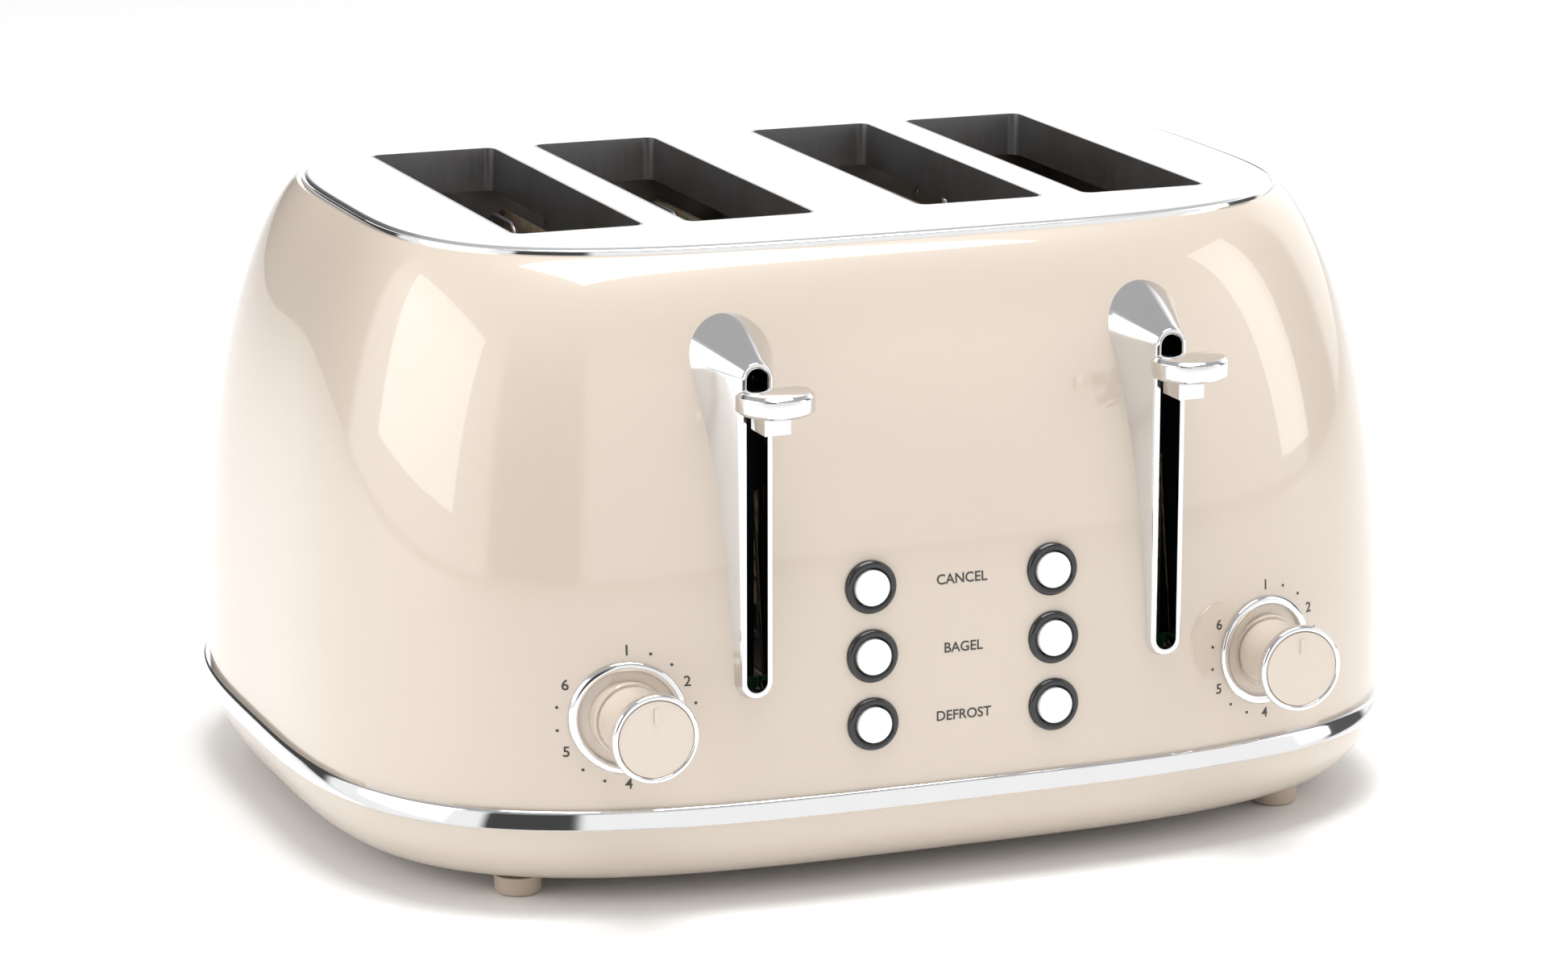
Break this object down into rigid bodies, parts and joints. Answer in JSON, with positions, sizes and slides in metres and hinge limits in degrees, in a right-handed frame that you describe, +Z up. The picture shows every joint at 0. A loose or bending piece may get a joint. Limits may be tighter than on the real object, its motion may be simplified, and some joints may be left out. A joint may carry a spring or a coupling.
{
  "type": "pop up toaster",
  "caption": "Long-bodied pop up toaster with rounded enamelled shell, chrome trim, wide slots, lift levers, push buttons and browning knobs.",
  "frame": {"origin": "on the plane the feet stand on, under the middle of the whole, levers and all", "axes": "+X to the user's right, +Y towards the back, +Z up"},
  "size_m": [0.335, 0.2958, 0.179],
  "materials": {
    "cream_enamel": "gloss",
    "cream_plastic": "gloss",
    "cream_knob": "satin",
    "chrome": "mirror",
    "polished_steel": "polished",
    "plain_steel": "mill",
    "black_gloss": "gloss",
    "black_plastic": "moulded",
    "button_silver": "satin",
    "foot_grey": "matte",
    "mica_card": "layered",
    "circuit_board": "lacquered",
    "spring_steel": "wire",
    "copper_coil": "wound"
  },
  "bodies": {
    "housing": {"body_shell": "cream_enamel", "rim_ring": "chrome", "top_plate": "polished_steel", "slot_wells_left": "plain_steel", "slot_wells_right": "plain_steel", "chrome_band": "chrome", "base_tray": "cream_plastic", "base_screws": "plain_steel", "chassis_plate_front": "plain_steel", "chassis_plate_back": "plain_steel", "button_carrier": "black_gloss", "control_board": "circuit_board", "mains_gland": "black_plastic", "guide_rod_left": "plain_steel", "lift_spring_left": "spring_steel", "lever_bezel_left": "chrome", "dial_ring_left": "chrome", "electromagnet_left": "copper_coil", "foot_front_left": "foot_grey", "foot_back_left": "foot_grey", "guide_rod_right": "plain_steel", "lift_spring_right": "spring_steel", "lever_bezel_right": "chrome", "dial_ring_right": "chrome", "electromagnet_right": "copper_coil", "foot_front_right": "foot_grey", "foot_back_right": "foot_grey", "heater_card_1": "mica_card", "heater_card_2": "mica_card", "heater_card_3": "mica_card", "heater_card_4": "mica_card", "heater_card_5": "mica_card", "heater_card_6": "mica_card"},
    "lift_left": {"carriage_left": "black_plastic", "bread_rails_left": "plain_steel", "lever_pad_left": "chrome"},
    "lift_right": {"carriage_right": "black_plastic", "bread_rails_right": "plain_steel", "lever_pad_right": "chrome"},
    "guard_1_left": {"bread_guard_1_left": "plain_steel"},
    "guard_1_right": {"bread_guard_1_right": "plain_steel"},
    "guard_2_left": {"bread_guard_2_left": "plain_steel"},
    "guard_2_right": {"bread_guard_2_right": "plain_steel"},
    "guard_3_left": {"bread_guard_3_left": "plain_steel"},
    "guard_3_right": {"bread_guard_3_right": "plain_steel"},
    "guard_4_left": {"bread_guard_4_left": "plain_steel"},
    "guard_4_right": {"bread_guard_4_right": "plain_steel"},
    "button_low_left": {"button_low_left": "button_silver"},
    "button_middle_left": {"button_middle_left": "button_silver"},
    "button_top_left": {"button_top_left": "button_silver"},
    "button_low_right": {"button_low_right": "button_silver"},
    "button_middle_right": {"button_middle_right": "button_silver"},
    "button_top_right": {"button_top_right": "button_silver"},
    "knob_left": {"browning_knob_left": "cream_knob", "knob_ring_left": "chrome"},
    "tray_left": {"crumb_tray_left": "plain_steel"},
    "knob_right": {"browning_knob_right": "cream_knob", "knob_ring_right": "chrome"},
    "tray_right": {"crumb_tray_right": "plain_steel"}
  },
  "joints": [
    {"name": "lever_left", "type": "slide", "parent": "housing", "child": "lift_left", "axis": [0, 0, -1], "range_m": [0, 0.07], "stiffness_N_per_m": 60, "springref_m": -0.09, "deforming": ["lift_spring_left"]},
    {"name": "lever_right", "type": "slide", "parent": "housing", "child": "lift_right", "axis": [0, 0, -1], "range_m": [0, 0.07], "stiffness_N_per_m": 60, "springref_m": -0.09, "deforming": ["lift_spring_right"]},
    {"name": "guard_1_left", "type": "hinge", "parent": "housing", "child": "guard_1_left", "pos_m": [-0.10315, 0.01045, 0.046], "axis": [0, 1, 0], "range_deg": [0, 5]},
    {"name": "guard_1_right", "type": "hinge", "parent": "housing", "child": "guard_1_right", "pos_m": [-0.06955, 0.01045, 0.046], "axis": [0, 1, 0], "range_deg": [-5, 0]},
    {"name": "guard_2_left", "type": "hinge", "parent": "housing", "child": "guard_2_left", "pos_m": [-0.0519, 0.01045, 0.046], "axis": [0, 1, 0], "range_deg": [0, 5]},
    {"name": "guard_2_right", "type": "hinge", "parent": "housing", "child": "guard_2_right", "pos_m": [-0.0183, 0.01045, 0.046], "axis": [0, 1, 0], "range_deg": [-5, 0]},
    {"name": "guard_3_left", "type": "hinge", "parent": "housing", "child": "guard_3_left", "pos_m": [0.0183, 0.01045, 0.046], "axis": [0, 1, 0], "range_deg": [0, 5]},
    {"name": "guard_3_right", "type": "hinge", "parent": "housing", "child": "guard_3_right", "pos_m": [0.0519, 0.01045, 0.046], "axis": [0, 1, 0], "range_deg": [-5, 0]},
    {"name": "guard_4_left", "type": "hinge", "parent": "housing", "child": "guard_4_left", "pos_m": [0.06955, 0.01045, 0.046], "axis": [0, 1, 0], "range_deg": [0, 5]},
    {"name": "guard_4_right", "type": "hinge", "parent": "housing", "child": "guard_4_right", "pos_m": [0.10315, 0.01045, 0.046], "axis": [0, 1, 0], "range_deg": [-5, 0]},
    {"name": "button_low_left", "type": "slide", "parent": "housing", "child": "button_low_left", "axis": [0, 1, 0], "range_m": [0, 0.0016], "stiffness_N_per_m": 250, "springref_m": -0.002},
    {"name": "button_middle_left", "type": "slide", "parent": "housing", "child": "button_middle_left", "axis": [0, 1, 0], "range_m": [0, 0.0016], "stiffness_N_per_m": 250, "springref_m": -0.002},
    {"name": "button_top_left", "type": "slide", "parent": "housing", "child": "button_top_left", "axis": [0, 1, 0], "range_m": [0, 0.0016], "stiffness_N_per_m": 250, "springref_m": -0.002},
    {"name": "button_low_right", "type": "slide", "parent": "housing", "child": "button_low_right", "axis": [0, 1, 0], "range_m": [0, 0.0016], "stiffness_N_per_m": 250, "springref_m": -0.002},
    {"name": "button_middle_right", "type": "slide", "parent": "housing", "child": "button_middle_right", "axis": [0, 1, 0], "range_m": [0, 0.0016], "stiffness_N_per_m": 250, "springref_m": -0.002},
    {"name": "button_top_right", "type": "slide", "parent": "housing", "child": "button_top_right", "axis": [0, 1, 0], "range_m": [0, 0.0016], "stiffness_N_per_m": 250, "springref_m": -0.002},
    {"name": "browning_left", "type": "hinge", "parent": "housing", "child": "knob_left", "pos_m": [-0.096, -0.11955, 0.0568], "axis": [0, 1, 0], "range_deg": [0, 300]},
    {"name": "crumb_tray_left", "type": "slide", "parent": "housing", "child": "tray_left", "axis": [0, 1, 0], "range_m": [0, 0.18]},
    {"name": "browning_right", "type": "hinge", "parent": "housing", "child": "knob_right", "pos_m": [0.096, -0.11955, 0.0568], "axis": [0, 1, 0], "range_deg": [0, 300]},
    {"name": "crumb_tray_right", "type": "slide", "parent": "housing", "child": "tray_right", "axis": [0, 1, 0], "range_m": [0, 0.18]}
  ],
  "couplings": [
    {"joint": "guard_1_left", "follows": "lever_left", "rad_per_m": 1.2466},
    {"joint": "guard_1_right", "follows": "lever_left", "rad_per_m": -1.2466},
    {"joint": "guard_2_left", "follows": "lever_left", "rad_per_m": 1.2466},
    {"joint": "guard_2_right", "follows": "lever_left", "rad_per_m": -1.2466},
    {"joint": "guard_3_left", "follows": "lever_right", "rad_per_m": 1.2466},
    {"joint": "guard_3_right", "follows": "lever_right", "rad_per_m": -1.2466},
    {"joint": "guard_4_left", "follows": "lever_right", "rad_per_m": 1.2466},
    {"joint": "guard_4_right", "follows": "lever_right", "rad_per_m": -1.2466}
  ]
}
